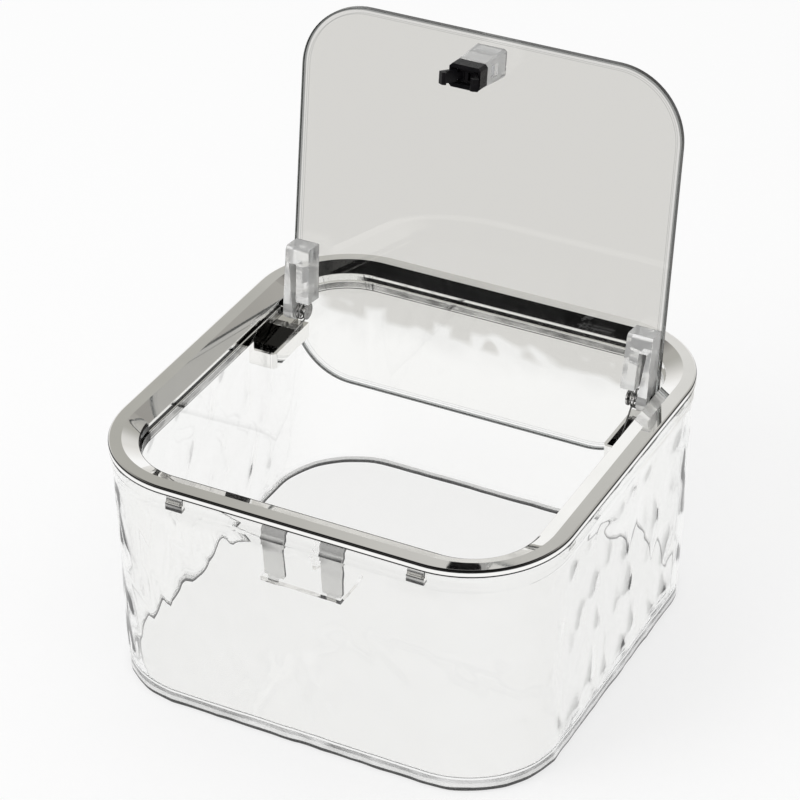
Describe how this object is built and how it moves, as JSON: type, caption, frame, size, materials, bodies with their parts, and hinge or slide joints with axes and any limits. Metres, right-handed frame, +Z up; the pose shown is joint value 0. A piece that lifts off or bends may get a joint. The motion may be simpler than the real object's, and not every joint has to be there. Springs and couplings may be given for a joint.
{
  "type": "flip lid storage box",
  "caption": "Clear square storage box with rippled walls, a plated rim and a sprung clear lid that opens from a push latch.",
  "frame": {"origin": "centre of the tub's flat bottom", "axes": "+Z up, -Y out of the front where the latch closes, +X to the right of someone facing the front"},
  "size_m": [0.17, 0.17, 0.2033],
  "materials": {
    "tub_plastic": "clear, rippled outside, glossy",
    "lid_plastic": "clear with a slight grey tint, polished",
    "plated_rim": "bright plated plastic",
    "steel": "drawn spring wire and plain pins",
    "grey_plastic": "satin",
    "black_plastic": "semi-gloss moulded"
  },
  "bodies": {
    "box": {"tub": "tub_plastic", "frame": "plated_rim", "torsion_spring_right": "steel", "torsion_spring_left": "steel", "latch_striker": "lid_plastic"},
    "lid_assembly": {"lid": "lid_plastic", "hinge_pin_right": "steel", "hinge_pin_left": "steel", "latch_housing": "grey_plastic", "latch_collar": "black_plastic", "latch_spring": "steel", "latch_cam_wire": "steel"},
    "slider": {"latch_slider": "black_plastic", "jaw_pins": "steel"},
    "jaw_right": {"latch_jaw_right": "black_plastic"},
    "jaw_left": {"latch_jaw_left": "black_plastic"}
  },
  "joints": [
    {"name": "lid_hinge", "type": "hinge", "parent": "box", "child": "lid_assembly", "pos_m": [0, 0.0455, 0.0866], "axis": [1, 0, 0], "range_deg": [0, 97.5], "stiffness_Nm_per_rad": 0.03, "springref_deg": -34.38, "deforming": ["torsion_spring_right", "torsion_spring_left"]},
    {"name": "latch_slide", "type": "slide", "parent": "lid_assembly", "child": "slider", "axis": [0, 0.9914, -0.1305], "range_m": [0, 0.0035], "stiffness_N_per_m": 400, "springref_m": -0.004, "deforming": ["latch_spring"]},
    {"name": "latch_jaw_right_hinge", "type": "hinge", "parent": "slider", "child": "jaw_right", "pos_m": [0.0018, 0.04658, 0.1967], "axis": [0, -0.1305, -0.9914], "range_deg": [0, 23.5]},
    {"name": "latch_jaw_left_hinge", "type": "hinge", "parent": "slider", "child": "jaw_left", "pos_m": [-0.0018, 0.04658, 0.1967], "axis": [0, 0.1305, 0.9914], "range_deg": [0, 23.5]}
  ],
  "couplings": [
    {"joint": "latch_jaw_right_hinge", "follows": "latch_slide", "rad_per_m": 117.18},
    {"joint": "latch_jaw_left_hinge", "follows": "latch_slide", "rad_per_m": 117.18}
  ]
}
